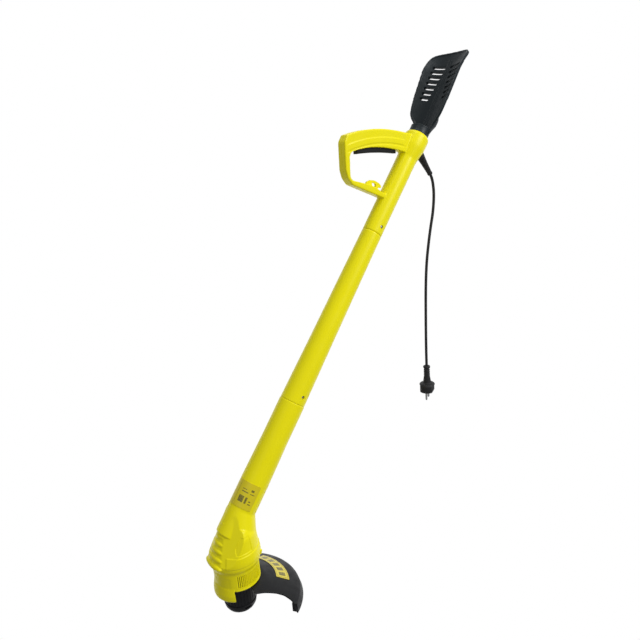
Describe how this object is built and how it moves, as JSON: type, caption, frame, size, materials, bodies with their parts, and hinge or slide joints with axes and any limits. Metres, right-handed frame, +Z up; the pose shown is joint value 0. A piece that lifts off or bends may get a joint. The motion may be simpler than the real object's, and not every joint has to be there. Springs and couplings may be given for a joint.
{
  "type": "string trimmer",
  "caption": "Corded electric string trimmer: straight tube, D-handle with trigger, forearm rest, motor head with a tap-feed line spool and a crescent guard.",
  "frame": {"origin": "middle of the D-handle's grip bar, where the hand holds the tool", "axes": "+Z up and parallel to the motor shaft; +X towards the user's elbow, so the cutting head is at -X; +Y to the tool's far side, across its plane of symmetry"},
  "size_m": [0.6878, 0.2088, 1.0057],
  "materials": {
    "yellow_plastic": "moulded yellow plastic, satin gloss",
    "black_plastic": "moulded black plastic, fine texture",
    "rubber": "black soft PVC",
    "steel": "bright plated steel",
    "copper": "copper",
    "iron": "laminated iron and ferrite",
    "carbon": "carbon",
    "nylon": "natural nylon line",
    "grey_plastic": "grey plastic",
    "label": null
  },
  "bodies": {
    "frame": {"handle_shell_left": "yellow_plastic", "handle_shell_right": "yellow_plastic", "handle_screw_1": "steel", "handle_screw_2": "steel", "handle_screw_3": "steel", "trigger_pivot_pin": "steel", "trigger_spring": "steel", "switch_body": "black_plastic", "cord_strain_relief": "rubber", "cable_clamp": "black_plastic", "cable_clamp_screw_1": "steel", "cable_clamp_screw_2": "steel", "switch_lead": "rubber", "motor_lead": "rubber", "power_cord": "rubber", "plug_body": "rubber", "plug_pin_1": "steel", "plug_pin_2": "steel", "arm_rest": "black_plastic", "arm_rest_screw": "steel", "middle_tube": "yellow_plastic", "upper_joint_screw": "steel", "lower_joint_screw": "steel", "motor_housing_left": "yellow_plastic", "motor_housing_right": "yellow_plastic", "housing_screw_1": "steel", "housing_screw_2": "steel", "housing_screw_3": "steel", "rating_label": "label", "motor_can": "iron", "motor_end_bell": "black_plastic", "carbon_brush_left": "carbon", "carbon_brush_right": "carbon", "lower_bearing": "steel", "upper_bearing": "steel", "magnet_front": "iron", "magnet_back": "iron", "suppression_capacitor": "grey_plastic", "guard": "black_plastic", "line_cutter_blade": "steel", "cutter_screw": "steel", "guard_screw_1": "steel", "guard_screw_2": "steel", "guard_label": "label"},
    "trigger_lever": {"trigger": "black_plastic"},
    "plunger": {"switch_plunger": "grey_plastic"},
    "rotor": {"rotor_core": "iron", "rotor_winding": "copper", "commutator": "copper", "motor_shaft": "steel", "cooling_fan": "black_plastic", "spool_drum": "black_plastic", "drum_cover": "black_plastic", "line_eyelet": "steel", "cutting_line_end": "nylon", "spool_spring": "steel"},
    "washer": {"thrust_washer": "steel"},
    "spool": {"line_spool": "black_plastic", "wound_line": "nylon", "bump_knob": "black_plastic"}
  },
  "joints": [
    {"name": "trigger_pull", "type": "hinge", "parent": "frame", "child": "trigger_lever", "pos_m": [-0.046, 0, -0.0105], "axis": [0, -1, 0], "range_deg": [0, 2.8], "stiffness_Nm_per_rad": 0.3, "springref_deg": -5.73, "deforming": ["trigger_spring"]},
    {"name": "plunger_slide", "type": "slide", "parent": "frame", "child": "plunger", "axis": [0, 0, 1], "range_m": [0, 0.0037]},
    {"name": "head_spin", "type": "hinge", "parent": "frame", "child": "rotor", "pos_m": [-0.405, 0, -0.76], "axis": [0, 0, 1], "continuous": true},
    {"name": "bump_travel", "type": "slide", "parent": "rotor", "child": "washer", "axis": [0, 0, 1], "range_m": [0, 0.004], "stiffness_N_per_m": 2000, "springref_m": -0.003, "deforming": ["spool_spring"]},
    {"name": "spool_feed", "type": "hinge", "parent": "washer", "child": "spool", "pos_m": [-0.405, 0, -0.806], "axis": [0, 0, 1], "continuous": true}
  ],
  "couplings": [
    {"joint": "plunger_slide", "follows": "trigger_pull", "m_per_rad": 0.075}
  ]
}
